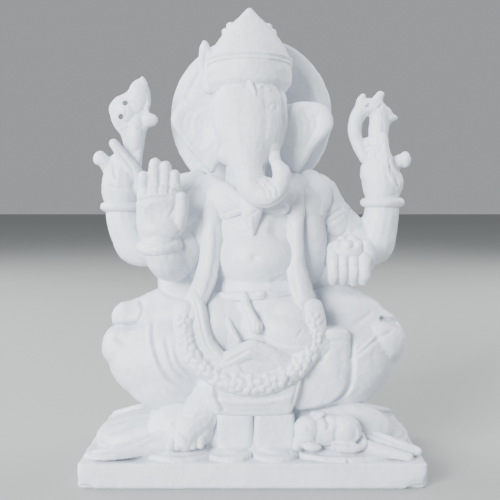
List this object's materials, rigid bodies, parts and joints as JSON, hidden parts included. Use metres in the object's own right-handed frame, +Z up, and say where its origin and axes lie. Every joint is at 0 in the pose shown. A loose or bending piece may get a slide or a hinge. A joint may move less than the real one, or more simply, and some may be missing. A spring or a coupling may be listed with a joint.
{
  "type": "ganesha idol",
  "caption": "Seated elephant-headed deity with raised arms, carved in white marble on a lotus seat and a rectangular slab.",
  "frame": {"origin": "centre of the slab's flat underside", "axes": "+Z up; -Y is the way the figure faces; +X is towards the figure's left hands"},
  "size_m": [0.214, 0.118, 0.306],
  "materials": {
    "marble": "satin"
  },
  "bodies": {
    "root": {"base_slab": "marble", "lotus_seat": "marble", "hanging_foot": "marble", "mouse": "marble", "petal_front_1": "marble", "petal_front_2": "marble", "petal_front_3": "marble", "petal_front_4": "marble", "petal_back_1": "marble", "petal_back_2": "marble", "petal_back_3": "marble", "petal_corner_right": "marble", "petal_corner_left": "marble", "lap": "marble", "leg_right": "marble", "leg_left": "marble", "folded_shin": "marble", "apron": "marble", "side_panel": "marble", "belly": "marble", "chest": "marble", "belt": "marble", "garland_loop": "marble", "scarf_right": "marble", "scarf_left": "marble", "sash": "marble", "head": "marble", "trunk": "marble", "tusk_right": "marble", "tusk_left": "marble", "pendant": "marble", "necklace": "marble", "crown_cap": "marble", "crown_rim": "marble", "crown_bands": "marble", "crown_leaf": "marble", "crown_side_crest": "marble", "forehead_mark": "marble", "ear_right": "marble", "ear_left": "marble", "halo": "marble", "shoulder_right": "marble", "shoulder_left": "marble", "armlet_left": "marble", "rear_right_arm": "marble", "rear_left_arm": "marble", "front_right_arm": "marble", "front_left_arm": "marble", "rear_right_bangle": "marble", "rear_left_bangle": "marble", "front_right_bangle": "marble", "rear_right_hand": "marble", "rear_left_hand": "marble", "conch": "marble", "noose": "marble", "front_right_palm": "marble", "front_left_hand": "marble", "sweets": "marble"}
  },
  "joints": []
}
